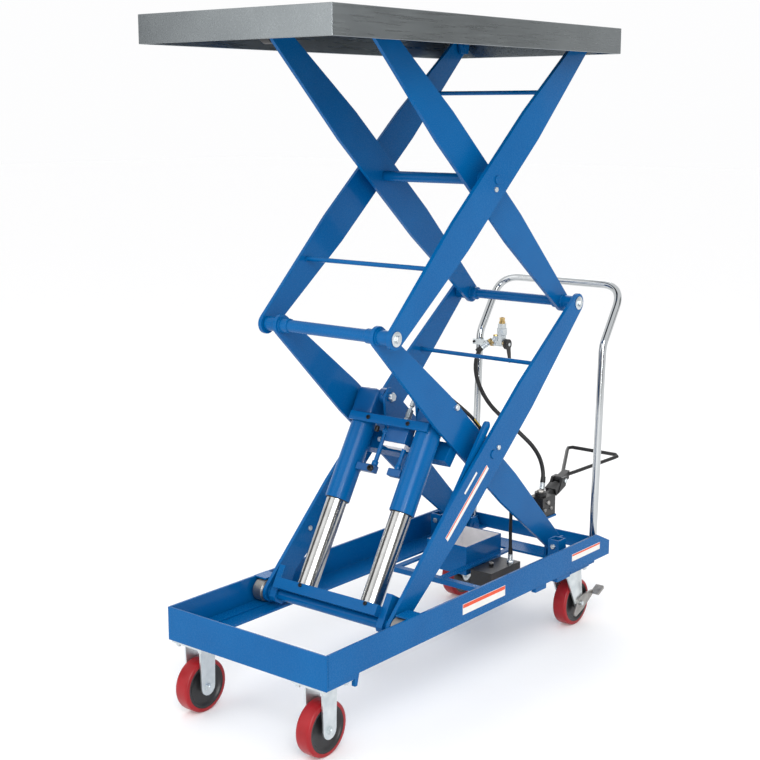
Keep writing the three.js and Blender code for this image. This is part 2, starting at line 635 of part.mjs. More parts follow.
for (const [tag, side] of SIDES) {
  const rod = barX(side * RAM.y, RAM.offset, RAM.rod, 35 + GAP, RAM.rodEnd, 20);
  add(ramFrame, `ram_rod_${tag}`, rod, CHROME());

  const barrel = cut(
    join(
      barX(side * RAM.y, RAM.offset, RAM.barrel, RAM.barrelStart, RAM.barrelEnd, 20),
      sideBlock(side, RAM.barrelEnd - 2, RAM.pivot + 8, 68, 130, RAM.offset - 30, RAM.offset + 28),
      sideBar(side, RAM.pivot, RAM.offset, 20, 56, 74, 20),
    ),
    barX(side * RAM.y, RAM.offset, RAM.bore, RAM.barrelStart - 5, RAM.barrelEnd - 8, 20),
  );
  add(ramFrame, `ram_barrel_${tag}`, barrel, BLUE());
}

// The oil hose meets its fitting close to the rams' upper pivot, so that it hardly moves as they swing.
const HOSE_Y = -25;
const HOSE_REACH = 16;

// Flat bar screwed across both barrels, with the oil manifold behind it and a pipe to each barrel's boss.
const MANIFOLD = { x0: 424, x1: 476, y0: -55, y1: 8, back: -20.2, front: 7.8 };
const PIPE = { radius: 5.5, left: -50, right: 21, z: -6.2, elbow: 450 };
const BOSS = { x0: 342, x1: 361, left: 29, right: 12 };
function ramCrossbar() {
  const front = RAM.offset + RAM.barrel + GAP;
  const bar = block(458, 480, -121, 121, front, front + 8);
  const stem = block(459, 472, -42, 2, MANIFOLD.front - 1, front + 2);
  const { x0, x1, y0, y1, back } = MANIFOLD;
  const manifold = block(x0, x1, y0, y1, back, MANIFOLD.front);
  const leftPipe = barX(PIPE.left, PIPE.z, PIPE.radius, BOSS.x0 + 8, x0 + 6);
  const rightPipe = barX(PIPE.right, PIPE.z, PIPE.radius, BOSS.x0 + 8, PIPE.elbow + 7);
  const elbow = barY(PIPE.elbow, PIPE.z, 7, y1 - 4, PIPE.right + 6);
  const hex = barX(HOSE_Y, RAM.offset, 9, x1 - 4, RAM.pivot - 24, 6);
  const nipple = barX(HOSE_Y, RAM.offset, 3.5, x1, RAM.pivot - HOSE_REACH - 0.8);
  const beside = RAM.y - RAM.barrel - GAP;
  const bosses = SIDES.map(([tag, side]) => sideBlock(side, BOSS.x0, BOSS.x1, BOSS[tag], beside, -16.2, 3.8));
  return join(bar, stem, manifold, hex, nipple, leftPipe, elbow, rightPipe, ...bosses);
}
add(ramFrame, "ram_crossbar", ramCrossbar(), BLUE());

// ---- maintenance prop ---------------------------------------------------------------------------
const PROP = { pivotX: -319, length: 375, tilt: THREE.MathUtils.degToRad(9.2) };
function prop() {
  const shape = new THREE.Shape();
  shape.absarc(0, 0, 11, Math.PI / 2, 1.5 * Math.PI, false);
  shape.absarc(PROP.length - 11, 0, 11, -Math.PI / 2, Math.PI / 2, false);
  const bar = plate(shape, -184, -176, 8);
  return join(bar, barY(0, 0, 6, -186, -174, 16));
}
const propFrame = frameAt(lowerOuter, PROP.pivotX, 0, PROP.tilt);
add(propFrame, "maintenance_prop", prop(), BLUE());

// ---- deck ---------------------------------------------------------------------------------------
const DECK_REAR = DECK.front + DECK.length;
const DECK_HALF = DECK.width / 2;
const UNDER = DECK.top - DECK.sheet;
function deckPan() {
  const t = DECK.sheet;
  const shell = cut(
    block(DECK.front, DECK_REAR, -DECK_HALF, DECK_HALF, DECK.bottom, DECK.top),
    block(DECK.front + t, DECK_REAR - t, -DECK_HALF + t, DECK_HALF - t, DECK.bottom - 10, UNDER),
  );
  const ribs = [430, 690].map((x) => block(x - 20, x + 20, -196, 196, UNDER - 14, UNDER + 1));
  return join(shell, ...ribs);
}
const deck = new THREE.Group();
table.add(deck);
add(deck, "deck_pan", deckPan(), STAINLESS());

// Channel for the deck roller, and the lugs and pin that hold the rear end of the outer leg.
function deckTrack(side) {
  const top = DECK_PIN_Z + DECK_ROLLER.radius + 0.5;
  const outer = 234;
  const web = sideBlock(side, 12, 1086, outer - 4, outer, UNDER - 14, UNDER - GAP);
  const roof = sideBlock(side, 12, 400, INNER_Y + 12, outer - 1, top, UNDER - GAP);
  const lugTop = sideBlock(side, 1026, 1086, 174, outer - 1, UNDER - GAP - 1.8, UNDER - GAP);
  const lug = (y0, y1) =>
    sidePlate(side, [[1030, UNDER - 1], [1040, 1522], [1072, 1522], [1082, UNDER - 1]], y0, y1);
  const pin = sideBar(side, REAR_PIVOT.x, DECK_PIN_Z, PIN, 172, 212);
  return join(web, roof, lugTop, lug(175, 183), lug(200, 208), pin);
}
for (const [tag, side] of SIDES) {
  add(deck, `deck_track_${tag}`, deckTrack(side), BLUE());
}

// ---- hoses --------------------------------------------------------------------------------------
function curve(points) {
  return new THREE.CatmullRomCurve3(points.map((p) => new THREE.Vector3(...p)), false, "centripetal");
}

// Air line, hanging from the valve on the right post down to the pump's inlet.
const AIR_HOSE = [
  [1163, 158, 728], [1156.3, 165.3, 722.5], [1149.8, 172.6, 713], [1144.6, 179.2, 699], [1141.6, 184.4, 680],
  [1140.8, 185.8, 652], [1143, 182, 625], [1147, 174.5, 601], [1156, 164, 573], [1169, 150, 545],
  [1184, 132, 520], [1203, 106, 492], [1214, 76, 464], [1232, 48, 430], [1248, 33, 394],
  [1254, 25, 356], [1248, 20.5, 332], [1240, 18, 306.4],
];
add(chassis, "air_hose", rodAlong(curve(AIR_HOSE), 6, 20, 4), RUBBER());

// Oil line, first stretch: up from the reservoir to the left inner leg.
const OIL_BASE = [
  [940, -76, 190.4], [940, -76, 208], [936, -78, 238], [923, -86, 282], [904, -99, 326], [880, -113, 366],
];
add(chassis, "oil_hose_base", rodAlong(curve(OIL_BASE), 4.5, 9, 4), RUBBER());

// Second stretch: behind the leg, along its upper edge, and over in a loop to the rams' fitting.
const OIL_LEG = [
  [879.6, -113.2, 366.6], [857, -125, 402], [826, -132, 440], [790, -134, 484], [762, -134.5, 524],
  [740, -134.5, 552], [721, -138.5, 577.5], [706, -142.5, 592.5], [678.3, -145.5, 617.6], [650, -145.5, 642],
  [633, -141.5, 657], [620.5, -133, 670.5], [611.5, -120, 683.5], [606.5, -104, 695.5], [603.5, -87, 705.5],
  [601, -70, 710.5], [597.5, -54, 709.5], [592, -40, 702.5], [584.5, -30, 689], [577, -26, 676],
  [570.1, -25, 663.6],
];
add(table, "oil_hose", rodAlong(curve(OIL_LEG), 4.5, 34, 4), RUBBER());

export default table;
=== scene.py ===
"""A mobile double-scissor lift table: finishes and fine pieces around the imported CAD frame."""

import json
import math

import bmesh
import bpy
from mathutils import Matrix, Vector, noise


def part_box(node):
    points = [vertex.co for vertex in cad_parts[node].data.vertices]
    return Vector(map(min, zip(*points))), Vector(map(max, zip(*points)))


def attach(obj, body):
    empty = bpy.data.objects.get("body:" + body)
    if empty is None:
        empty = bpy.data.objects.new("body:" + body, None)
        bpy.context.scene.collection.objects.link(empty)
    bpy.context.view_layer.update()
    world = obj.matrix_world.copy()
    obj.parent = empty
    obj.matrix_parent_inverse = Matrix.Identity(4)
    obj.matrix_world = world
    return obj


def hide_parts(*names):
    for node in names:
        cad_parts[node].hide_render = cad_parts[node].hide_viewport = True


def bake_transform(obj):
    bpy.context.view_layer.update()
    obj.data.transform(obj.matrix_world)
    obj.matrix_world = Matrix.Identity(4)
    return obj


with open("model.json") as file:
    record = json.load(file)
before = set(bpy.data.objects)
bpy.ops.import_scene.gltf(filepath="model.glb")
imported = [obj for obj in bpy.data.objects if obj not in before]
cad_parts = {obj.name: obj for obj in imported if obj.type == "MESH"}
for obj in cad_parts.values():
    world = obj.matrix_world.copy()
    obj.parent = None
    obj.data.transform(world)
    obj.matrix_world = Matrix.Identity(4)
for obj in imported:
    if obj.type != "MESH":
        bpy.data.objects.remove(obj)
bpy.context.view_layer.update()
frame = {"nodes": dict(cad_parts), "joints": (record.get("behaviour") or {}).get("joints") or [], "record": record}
NODES = frame["nodes"]
BODY_OF = {n: b for b, members in frame["record"]["behaviour"]["bodies"].items() for n in members}
MM = 0.001
SHARP = math.radians(38)  # edges that turn more than this stay sharp
UP = (0, 0, 1)

# ---- places, worked out from the frame ------------------------------------------------------------
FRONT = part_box("front_end_plate")[0].x  # outer face of the front plate: x = 0 below
SIDES = (("left", -1), ("right", 1))


def at(x, y, z):
    """A point given in millimetres from the front plate, the middle plane and the floor."""
    return Vector((FRONT + x * MM, y * MM, z * MM))


def middle(node):
    low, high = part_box(node)
    return (low + high) / 2


def flat_centre(point):
    """The point's place in the table's middle plane."""
    return Vector((point.x, 0, point.z))


def tilted(origin, angle):
    """Local X points up from +X by the angle, in radians, and Y stays across the table."""
    return Matrix.Translation(origin) @ Matrix.Rotation(-angle, 4, "Y")


def along(point, direction):
    """Local Z points along the direction, from the point."""
    return Matrix.Translation(point) @ Vector(direction).to_track_quat("Z", "Y").to_matrix().to_4x4()


def local(x, y, z):
    """A point given in millimetres in a tilted frame's own axes."""
    return Vector((x, y, z)) * MM


AXLE = middle("roller_axle")
FRONT_MID = middle("front_middle_shaft")
REAR_MID = middle("rear_middle_shaft")
CENTRE_LOW = (AXLE + REAR_MID) / 2
CENTRE_UP = middle("upper_centre_tube")
LEG_ANGLE = math.atan2(REAR_MID.z - AXLE.z, REAR_MID.x - AXLE.x)
OUTER_LOW = tilted(CENTRE_LOW, LEG_ANGLE)
OUTER_UP = tilted(CENTRE_UP, LEG_ANGLE)
SLIDE = next(j for j in frame["joints"] if j["name"] == "ram_stroke")["axis"]
RAM = tilted(AXLE, math.atan2(SLIDE[2], SLIDE[0]))
TABLE = Matrix.Translation(Vector((FRONT, 0, 0)))


# ---- materials ------------------------------------------------------------------------------------
def surface(name, colour, dark=None, metallic=0.0, roughness=0.4, rough_vary=0.08, grain=300.0,
            stretch=(1, 1, 1), bump=0.05, coat=0.0, patch=9.0, **sockets):
    """A finish whose colour drifts in patches, with a fine grain in its roughness and its relief."""
    mat = bpy.data.materials.new(name)
    mat.use_nodes = True
    tree = mat.node_tree
    shader = tree.nodes["Principled BSDF"]
    shader.inputs["Metallic"].default_value = metallic
    shader.inputs["Coat Weight"].default_value = coat
    for key, value in sockets.items():
        shader.inputs[key.replace("_", " ")].default_value = value
    place = tree.nodes.new("ShaderNodeTexCoord")
    mapping = tree.nodes.new("ShaderNodeMapping")
    mapping.inputs["Scale"].default_value = stretch
    tree.links.new(place.outputs["Object"], mapping.inputs["Vector"])

    def texture(scale, detail, source):
        node = tree.nodes.new("ShaderNodeTexNoise")
        node.inputs["Scale"].default_value = scale
        node.inputs["Detail"].default_value = detail
        tree.links.new(source, node.inputs["Vector"])
        return node

    drift = texture(patch, 4, place.outputs["Object"])
    fine = texture(grain, 3, mapping.outputs["Vector"])
    blend = tree.nodes.new("ShaderNodeValToRGB")
    dark = dark or tuple(c * 0.8 for c in colour)
    blend.color_ramp.elements[0].position = 0.25
    blend.color_ramp.elements[1].position = 0.75
    blend.color_ramp.elements[0].color = (*dark, 1)
    blend.color_ramp.elements[1].color = (*colour, 1)
    tree.links.new(drift.outputs["Fac"], blend.inputs["Fac"])
    tree.links.new(blend.outputs["Color"], shader.inputs["Base Color"])
    rough = tree.nodes.new("ShaderNodeMapRange")
    rough.inputs["To Min"].default_value = max(0.02, roughness - rough_vary)
    rough.inputs["To Max"].default_value = roughness + rough_vary
    tree.links.new(fine.outputs["Fac"], rough.inputs["Value"])
    tree.links.new(rough.outputs["Result"], shader.inputs["Roughness"])
    relief = tree.nodes.new("ShaderNodeBump")
    relief.inputs["Strength"].default_value = bump
    relief.inputs["Distance"].default_value = 0.0006
    tree.links.new(fine.outputs["Fac"], relief.inputs["Height"])
    tree.links.new(relief.outputs["Normal"], shader.inputs["Normal"])
    return mat


BLUE = surface("blue_gloss_paint", (0.0003, 0.112, 0.330), (0.0002, 0.096, 0.295), roughness=0.27,
               grain=420, bump=0.06, Specular_IOR_Level=0.10, coat=0.12, Coat_Roughness=0.06)
CAST_BLUE = surface("blue_paint_on_casting", (0.0004, 0.100, 0.305), (0.0003, 0.062, 0.215), roughness=0.38,
                    grain=110, bump=0.7, Specular_IOR_Level=0.2, coat=0.3, Coat_Roughness=0.12)
STAINLESS = surface("brushed_stainless", (0.30, 0.325, 0.335), (0.22, 0.24, 0.25), metallic=1.0,
                    roughness=0.30, rough_vary=0.12, grain=260, stretch=(0.035, 1, 1), bump=0.14, patch=5,
                    Anisotropic=0.45)
# Painted shade: a dark, dull steel that stands in for the shadow under the deck pan.
UNDERSIDE_SHADE = surface("deck_underside_painted_shade", (0.040, 0.045, 0.045), (0.025, 0.029, 0.029), metallic=0.7,
                    roughness=0.5, grain=160, bump=0.1, patch=7)
CHROME = surface("chrome", (0.55, 0.57, 0.58), (0.46, 0.48, 0.49), metallic=1.0, roughness=0.11,
                 rough_vary=0.03, grain=500, bump=0.02)
GROUND = surface("ground_chrome", (0.52, 0.52, 0.51), (0.40, 0.40, 0.39), metallic=1.0, roughness=0.2,
                 rough_vary=0.06, grain=330, bump=0.06, patch=30)
ZINC = surface("zinc_plate", (0.70, 0.74, 0.75), (0.54, 0.59, 0.61), metallic=0.85, roughness=0.34,
               rough_vary=0.12, grain=160, bump=0.08, patch=55)
# Pale sheet metal made near white and barely metallic: partly the sheet's own pale colour, partly painted
# reflection that stands in for the bright sheen of galvanised steel.
GALVANISED_PAINTED_SHEEN = surface("pale_sheet_painted_sheen", (0.93, 0.91, 0.91), (0.82, 0.80, 0.80), metallic=0.10, roughness=0.38,
                     grain=120, bump=0.1, patch=40)
STEEL = surface("machined_steel", (0.40, 0.39, 0.37), (0.24, 0.23, 0.22), metallic=0.9, roughness=0.42,
                rough_vary=0.14, grain=240, bump=0.2, patch=50)
BRASS = surface("brass", (0.66, 0.47, 0.20), (0.46, 0.31, 0.12), metallic=1.0, roughness=0.32,
                grain=260, bump=0.1)
RED = surface("red_polyurethane", (0.36, 0.012, 0.018), (0.27, 0.007, 0.011), roughness=0.34,
              grain=180, bump=0.12, patch=26, Specular_IOR_Level=0.3)
CORE = surface("black_core", (0.014, 0.014, 0.016), (0.007, 0.007, 0.008), roughness=0.38,
               grain=200, bump=0.2, patch=30)
BLACK = surface("black_enamel", (0.009, 0.0095, 0.0105), (0.005, 0.005, 0.0055), roughness=0.4,
                grain=160, bump=0.4, patch=35)
NYLON = surface("black_nylon", (0.011, 0.011, 0.012), roughness=0.5, grain=220, bump=0.2, patch=30)
RUBBER = surface("hose_rubber", (0.006, 0.006, 0.0065), (0.0035, 0.0035, 0.004), roughness=0.5,
                 grain=320, bump=0.4)
SCREW = surface("black_oxide", (0.03, 0.03, 0.032), (0.015, 0.015, 0.016), metallic=0.7, roughness=0.35)
PAPER = surface("plain_label", (0.84, 0.83, 0.79), (0.74, 0.73, 0.69), roughness=0.42,
                grain=260, bump=0.05, patch=40)
BAND = surface("label_band", (0.78, 0.075, 0.012), (0.68, 0.055, 0.010), roughness=0.42,
               grain=260, bump=0.05, patch=40)
MARK = surface("hose_mark", (0.75, 0.48, 0.02), (0.45, 0.28, 0.01), roughness=0.5,
               grain=260, bump=0.2, patch=120)


# ---- making pieces --------------------------------------------------------------------------------
def shade(mesh):
    """Smooth faces, with the sharp edges left sharp."""
    bm = bmesh.new()
    bm.from_mesh(mesh)
    bmesh.ops.recalc_face_normals(bm, faces=bm.faces)
    for face in bm.faces:
        face.smooth = True
    for edge in bm.edges:
        edge.smooth = len(edge.link_faces) == 2 and edge.calc_face_angle(0) < SHARP
    bm.to_mesh(mesh)
    bm.free()


def piece(name, mesh, mat, body, place=None, bevel=0.0, segments=2, replaces=()):
    """A shaded object on a body, its edges rounded by a bevel in millimetres."""
    shade(mesh)
    obj = bpy.data.objects.new(name, mesh)
    bpy.context.scene.collection.objects.link(obj)
    mesh.materials.clear()
    mesh.materials.append(mat)
    if place is not None:
        mesh.transform(place)
    if bevel:
        rounding = obj.modifiers.new("edges", "BEVEL")
        rounding.width = bevel * MM
        rounding.segments = segments
        rounding.limit_method = "ANGLE"
        rounding.angle_limit = SHARP
        rounding.harden_normals = True
    if replaces:
        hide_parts(*replaces)
    if body:
        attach(obj, body)
    return obj


def finished(node, mat, bevel=1.2, segments=2):
    """A piece with the CAD node's own shape and softened edges, which stands for the node."""
    mesh = NODES[node].data.copy()
    bm = bmesh.new()
    bm.from_mesh(mesh)
    bmesh.ops.remove_doubles(bm, verts=bm.verts, dist=2e-5)
    bmesh.ops.dissolve_limit(bm, angle_limit=math.radians(0.6), verts=bm.verts, edges=bm.edges)
    bm.to_mesh(mesh)
    bm.free()
    return piece(node + "_finish", mesh, mat, BODY_OF[node], bevel=bevel, segments=segments, replaces=[node])


def from_rings(name, rings, closed_ends=True, loop=False):
    """A skin over rings of points that all have the same count."""
    count = len(rings[0])
    verts = [p for ring in rings for p in ring]
    faces = []
    spans = len(rings) if loop else len(rings) - 1
    for i in range(spans):
        a = i * count
        b = ((i + 1) % len(rings)) * count
        for k in range(count):
            n = (k + 1) % count
            faces.append((a + k, a + n, b + n, b + k))
    if closed_ends and not loop:
        faces.append(tuple(range(count)))
        faces.append(tuple(range(len(verts) - count, len(verts))))
    mesh = bpy.data.meshes.new(name)
    mesh.from_pydata([tuple(v) for v in verts], [], faces)
    return mesh


def turned(name, profile, centre, mat, body, axis="Y", sides=72, place=None, hollow=False, replaces=()):
    """A lathe piece: the profile is (radius, distance along the axis) in millimetres."""
    rings = []
    for r, d in profile:
        ring = []
        for k in range(sides):
            a = 2 * math.pi * k / sides
            u, v = r * MM * math.cos(a), r * MM * math.sin(a)
            ring.append({"X": (d * MM, u, v), "Y": (u, d * MM, v), "Z": (u, v, d * MM)}[axis])
        rings.append(ring)
    mesh = from_rings(name, rings, loop=hollow)
    mesh.transform(Matrix.Translation(centre))
    return piece(name, mesh, mat, body, place=place, replaces=replaces)


def cuboid(low, high):
    """A box between two corners in millimetres, open to more work on it."""
    bm = bmesh.new()
    bmesh.ops.create_cube(bm, size=1)
    size = [(b - a) * MM for a, b in zip(low, high)]
    mid = [(a + b) / 2 * MM for a, b in zip(low, high)]
    bmesh.ops.transform(bm, matrix=Matrix.Translation(mid) @ Matrix.Diagonal((*size, 1)), verts=bm.verts)
    return bm


def as_mesh(name, bm):
    mesh = bpy.data.meshes.new(name)
    bm.to_mesh(mesh)
    bm.free()
    return mesh


def block(name, low, high, mat, body, place=None, bevel=1.0, replaces=()):
    """A box between two corners in millimetres, in the place's own axes."""
    mesh = as_mesh(name, cuboid(low, high))
    return piece(name, mesh, mat, body, place=place, bevel=bevel, segments=3, replaces=replaces)


def smooth_route(points, step=0.005):
    """Points close together along a centripetal Catmull-Rom curve through the given ones."""
    pts = [Vector(p) for p in points]
    ends = [pts[0] * 2 - pts[1], *pts, pts[-1] * 2 - pts[-2]]
    out = [pts[0]]
    for p0, p1, p2, p3 in zip(ends, ends[1:], ends[2:], ends[3:]):
        a, b, c = (math.sqrt((q - p).length) for p, q in ((p0, p1), (p1, p2), (p2, p3)))
        leave = ((p1 - p0) / a - (p2 - p0) / (a + b) + (p2 - p1) / b) * b
        arrive = ((p2 - p1) / b - (p3 - p1) / (b + c) + (p3 - p2) / c) * b
        count = max(2, int((p2 - p1).length / step))
        for k in range(1, count + 1):
            t = k / count
            out.append((2 * t ** 3 - 3 * t * t + 1) * p1 + (t ** 3 - 2 * t * t + t) * leave
                       + (3 * t * t - 2 * t ** 3) * p2 + (t ** 3 - t * t) * arrive)
    return out


def rounded_route(points, radius, steps=10):
    """Straight runs, with an arc-like turn at each corner."""
    pts = [Vector(p) for p in points]
    out = [pts[0]]
    for a, b, c in zip(pts, pts[1:], pts[2:]):
        u, v = (a - b).normalized(), (c - b).normalized()
        back = radius / math.tan(u.angle(v) / 2)
        start, end = b + u * back, b + v * back
        for k in range(steps + 1):
            t = k / steps
            out.append((1 - t) ** 2 * start + 2 * t * (1 - t) * b + t * t * end)
    out.append(pts[-1])
    return out


def swept(name, route, radius, mat, body, sides=24, place=None, closed=False, replaces=()):
    """A round bar along a route, in metres, with a radius in millimetres."""
    rings = []
    tangents = []
    for i, p in enumerate(route):
        before = route[i - 1] if (i or closed) else p
        after = route[(i + 1) % len(route)] if (i < len(route) - 1 or closed) else p
        tangents.append((after - before).normalized())
    side = tangents[0].orthogonal().normalized()
    for p, t in zip(route, tangents):
        side = (side - t * side.dot(t)).normalized()
        up = t.cross(side)
        ring = []
        for k in range(sides):
            a = 2 * math.pi * k / sides
            ring.append(p + (side * math.cos(a) + up * math.sin(a)) * radius * MM)
        rings.append(ring)
    return piece(name, from_rings(name, rings, loop=closed), mat, body, place=place, replaces=replaces)


def bolt(name, foot, direction, across, height, mat, body, place=None, turn=0.2):
    """A hexagonal head standing on its foot point, chamfered at its outer end."""
    r = across / math.sqrt(3)
    rings = []
    for radius, z in ((r, 0), (r, height - 0.09 * across), (r * 0.86, height)):
        ring = []
        for k in range(6):
            a = turn + k * math.pi / 3
            ring.append((radius * MM * math.cos(a), radius * MM * math.sin(a), z * MM))
        rings.append(ring)
    mesh = from_rings(name, rings)
    mesh.transform(along(foot, direction))
    return piece(name, mesh, mat, body, place=place, bevel=0.3)


def socket_screw(name, foot, direction, radius, height, mat, body, place=None, sides=48):
    """A round screw head with a hexagonal recess."""
    def ring(size, z, six=False):
        out = []
        for k in range(sides):
            a = 2 * math.pi * k / sides
            reach = size / math.cos((a + math.pi / 6) % (math.pi / 3) - math.pi / 6) if six else size
            out.append((reach * MM * math.cos(a), reach * MM * math.sin(a), z * MM))
        return out

    rings = [ring(radius, 0), ring(radius, height * 0.8), ring(radius * 0.88, height),
             ring(radius * 0.46, height, True), ring(radius * 0.44, height * 0.4, True)]
    mesh = from_rings(name, rings)
    mesh.transform(along(foot, direction))
    return piece(name, mesh, mat, body, place=place)


def sleeve(name, foot, direction, inner, profile, mat, body, sides=48):
    """A collar round a hose: the profile is (radius, distance from the foot), in millimetres."""
    ends = [(inner, profile[0][1]), *profile, (inner, profile[-1][1])]
    return turned(name, ends, Vector(), mat, body, "Z", sides, along(foot, direction), hollow=True)


def crimped(radius, length):
    """A crimped ferrule's profile, with three rings pressed into it."""
    pressed = radius - 0.6
    out = [(radius - 0.8, 0), (radius, 0.8)]
    for part in (0.25, 0.5, 0.75):
        z = part * length
        out += [(radius, z - 1.6), (pressed, z - 0.8), (pressed, z + 0.8), (radius, z + 1.6)]
    return out + [(radius, length - 0.8), (radius - 0.8, length)]


def knurled(name, foot, direction, radius, length, mat, body, teeth=40, place=None):
    """A grip ring with straight knurls."""
    rings = []
    for r, z in ((radius - 1.2, 0), (radius, 1.2), (radius, length - 1.2), (radius - 1.2, length)):
        ring = []
        for k in range(2 * teeth):
            a = math.pi * k / teeth
            reach = r + 0.45 * (k % 2)
            ring.append((reach * MM * math.cos(a), reach * MM * math.sin(a), z * MM))
        rings.append(ring)
    mesh = from_rings(name, rings)
    mesh.transform(along(foot, direction))
    return piece(name, mesh, mat, body, place=place)


def casting(name, low, high, mat, body, place, corner=7.0, rough=0.9):
    """A cast lump: a box with well rounded corners and an uneven skin."""
    bm = cuboid(low, high)
    bmesh.ops.bevel(bm, geom=bm.edges[:], offset=corner * MM, segments=4, profile=0.5, affect="EDGES")
    bmesh.ops.subdivide_edges(bm, edges=bm.edges[:], cuts=3, use_grid_fill=True)
    bm.normal_update()
    for vert in bm.verts:
        lift = 0.65 * noise.noise(vert.co * 85) + 0.35 * noise.noise(vert.co * 240)
        vert.co += vert.normal * lift * rough * MM
    return piece(name, as_mesh(name, bm), mat, body, place=place)


def ridge(name, centre, radius, y, mat, body, thick=2.4):
    """The bead of weld round a hub, with the ripples of a hand-made run."""
    rings = []
    turns = 96
    for i in range(turns):
        a = 2 * math.pi * i / turns
        swell = thick * (1 + 0.14 * math.sin(i * 2.1) + 0.08 * math.sin(i * 0.9))
        ring = []
        for k in range(8):
            b = 2 * math.pi * k / 8
            r = (radius + swell * math.cos(b)) * MM
            ring.append((r * math.cos(a), (y + swell * math.sin(b)) * MM, r * math.sin(a)))
        rings.append(ring)
    mesh = from_rings(name, rings, loop=True)
    mesh.transform(Matrix.Translation(centre))
    return piece(name, mesh, mat, body)


# ---- camera ----------------------------------------------------------------------------------------
camera_data = bpy.data.cameras.new("camera")
camera_data.sensor_width = 36
camera_data.lens = 66.3
camera_data.clip_end = 100
camera = bpy.data.objects.new("camera", camera_data)
YAW, PITCH = math.radians(38.935), math.radians(10.827)
forward = Vector((math.cos(PITCH) * math.cos(YAW), math.cos(PITCH) * math.sin(YAW), -math.sin(PITCH)))
camera.location = at(-2077.0, -2064.2, 1368.8)
camera.rotation_euler = forward.to_track_quat("-Z", "Y").to_euler()
bpy.context.scene.collection.objects.link(camera)
bpy.context.scene.camera = camera

# ---- hoses -----------------------------------------------------------------------------------------
AIR_HOSE = [
    (1163, 158, 728), (1156.3, 165.3, 722.5), (1149.8, 172.6, 713), (1144.6, 179.2, 699),
    (1141.6, 184.4, 680), (1140.8, 185.8, 652), (1143, 182, 625), (1147, 174.5, 601), (1156, 164, 573),
    (1169, 150, 545), (1184, 132, 520), (1203, 106, 492), (1214, 76, 464), (1232, 48, 430), (1248, 33, 394),
    (1254, 25, 356), (1248, 20.5, 332), (1240, 18, 306.4),
]
OIL_HOSE = [
    (940, -76, 190.4), (940, -76, 208), (936, -78, 238), (923, -86, 282), (904, -99, 326), (880, -113, 366),
    (857, -125, 402), (826, -132, 440), (790, -134, 484), (762, -134.5, 524), (740, -134.5, 552),
    (721, -138.5, 577.5), (706, -142.5, 592.5), (678.3, -145.5, 617.6), (650, -145.5, 642),
    (633, -141.5, 657), (620.5, -133, 670.5), (611.5, -120, 683.5), (606.5, -104, 695.5), (603.5, -87, 705.5),
    (601, -70, 710.5), (597.5, -54, 709.5), (592, -40, 702.5), (584.5, -30, 689), (577, -26, 676),
    (570.1, -25, 663.6),
]
AIR_DIAMETER, OIL_DIAMETER = 12, 9


def hose_end(name, end, inward, radius, length, hose_radius, body):
    """A crimped ferrule on a hose's end, with a tapered strain relief behind it."""
    way = (inward - end).normalized()
    inner = hose_radius + 0.1
    grip = sleeve(name + "_ferrule", end + way * 0.3 * MM, way, inner, crimped(radius, length), ZINC, body)
    taper = [(radius - 0.6, length + 0.3), (radius - 0.4, length + 3), (hose_radius + 1.0, length + 17),
             (hose_radius + 0.7, length + 18)]
    relief = sleeve(name + "_relief", end, way, inner, taper, RUBBER, body)
    return [grip, relief]


def lay_marks(name, route, radius, spans, side, mat, body):
    """Printed dashes along a hose, each a thin strip on the side that the vector points to."""
    marks = []
    for i, (start, stop) in enumerate(spans):
        rings = []
        for k in range(start, stop):
            p, ahead = route[k], (route[k + 1] - route[k - 1]).normalized()
            out = (side - ahead * side.dot(ahead)).normalized()
            across = ahead.cross(out)
            ring = []
            for height, turns in ((0.12, (-0.42, -0.2, 0, 0.2, 0.42)), (-0.3, (0.42, 0, -0.42))):
                for turn in turns:
                    way = out * math.cos(turn) + across * math.sin(turn)
                    ring.append(p + way * (radius + height) * MM)
            rings.append(ring)
        marks.append(piece(f"{name}_{i}", from_rings(name, rings), mat, body))
    return marks


route = smooth_route([at(*p) for p in AIR_HOSE])
air_hose = swept("air_hose_tube", route, AIR_DIAMETER / 2, RUBBER, "chassis", 24, replaces=["air_hose"])
ends = hose_end("air_top", route[0], route[4], 8.4, 24, AIR_DIAMETER / 2, "chassis")
ends += hose_end("air_foot", route[-1], route[-4], 8.0, 18, AIR_DIAMETER / 2, "chassis")

route = smooth_route([at(*p) for p in OIL_HOSE])
oil_hose = swept("oil_hose_tube", route, OIL_DIAMETER / 2, RUBBER, None, 24,
                 replaces=["oil_hose_base", "oil_hose"])
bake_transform(oil_hose)
ends = hose_end("oil_foot", route[0], route[3], 6.6, 16, OIL_DIAMETER / 2, "chassis")
ends += hose_end("oil_top", route[-1], route[-4], 6.6, 18, OIL_DIAMETER / 2, "lower_inner")
count = len(route)
spans = [(k, k + 7) for k in range(int(count * 0.26), int(count * 0.76), 12)]
ends += lay_marks("oil_mark", route, OIL_DIAMETER / 2, spans, Vector((-0.5, -1, 0.5)), MARK, "lower_inner")

